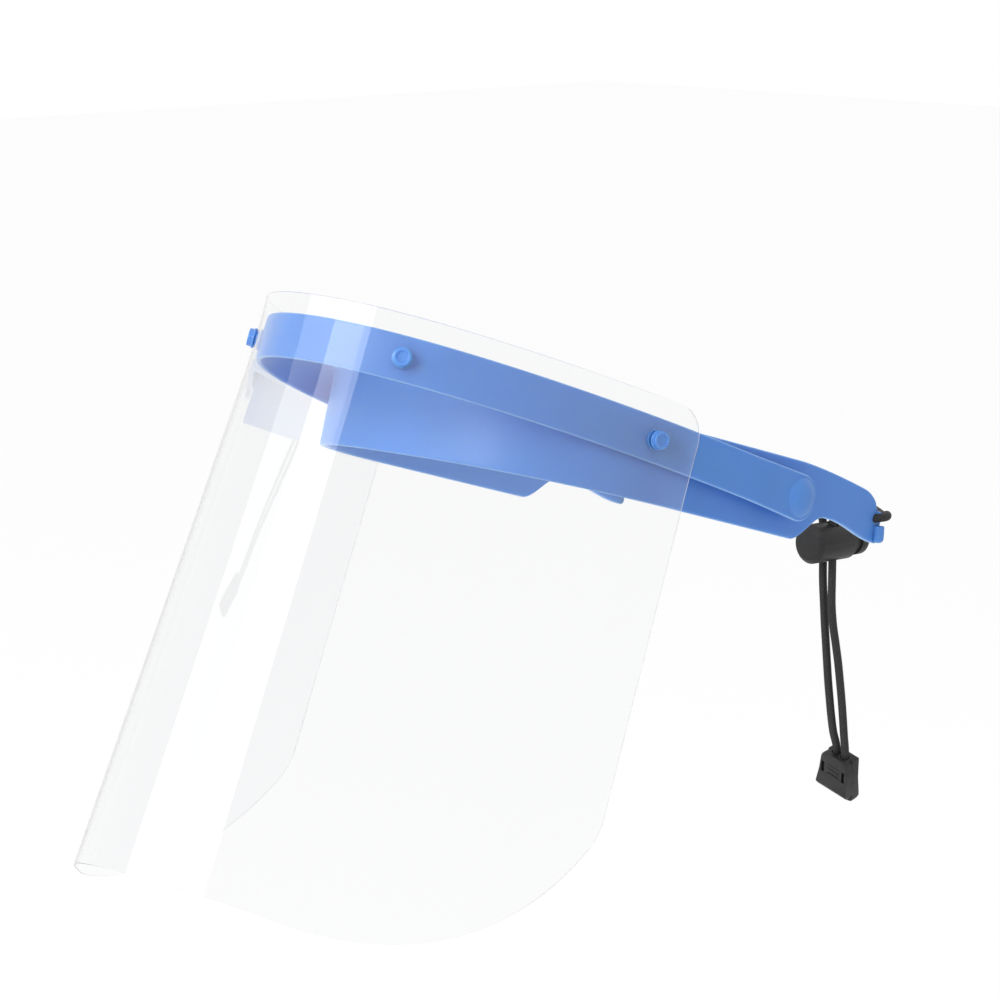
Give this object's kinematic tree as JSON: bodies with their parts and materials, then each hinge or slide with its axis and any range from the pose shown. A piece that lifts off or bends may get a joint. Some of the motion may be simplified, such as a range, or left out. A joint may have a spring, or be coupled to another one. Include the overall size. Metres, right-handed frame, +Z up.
{
  "type": "flip-up face shield",
  "caption": "Flip-up face shield: curved clear sheet snapped to a hinged blue bow on a moulded brow band, with elastic cords, a sprung cord lock and an end clip.",
  "frame": {"origin": "centre of the wearer's head, midway between the hinges in width, 19 mm in front of the hinge line along the band and on the band's centre line", "axes": "+Z is up as worn, the wearer looks along -Y, and +X is the wearer's left"},
  "size_m": [0.1542, 0.352, 0.2091],
  "materials": {
    "blue_plastic": "satin moulded plastic, slightly translucent",
    "clear_sheet": null,
    "black_cord": "braided elastic cord",
    "black_plastic": "fine satin moulded plastic",
    "spring_steel": "bright spring wire"
  },
  "bodies": {
    "headgear": {"brow_band": "blue_plastic", "pivot_pin_left": "blue_plastic", "pivot_pin_right": "blue_plastic", "cord_left": "black_cord", "cord_right": "black_cord", "cord_knot_left": "black_cord", "cord_knot_right": "black_cord", "cord_lock_body": "black_plastic", "cord_lock_spring": "spring_steel", "clip_front_shell": "black_plastic", "clip_back_shell": "black_plastic", "tail_knot_left": "black_cord", "tail_knot_right": "black_cord"},
    "visor": {"visor_frame": "blue_plastic", "visor_sheet": "clear_sheet", "stud_front_left": "blue_plastic", "stud_front_right": "blue_plastic", "stud_side_left": "blue_plastic", "stud_side_right": "blue_plastic"},
    "lock_plunger": {"cord_lock_plunger": "black_plastic"}
  },
  "joints": [
    {"name": "visor_flip", "type": "hinge", "parent": "headgear", "child": "visor", "pos_m": [0, 0.01809, -0.00585], "axis": [-1, 0, 0], "range_deg": [-10, 100]},
    {"name": "lock_press", "type": "slide", "parent": "headgear", "child": "lock_plunger", "axis": [0, -1, 0], "range_m": [0, 0.003], "stiffness_N_per_m": 900, "springref_m": -0.004, "deforming": ["cord_lock_spring"]}
  ]
}
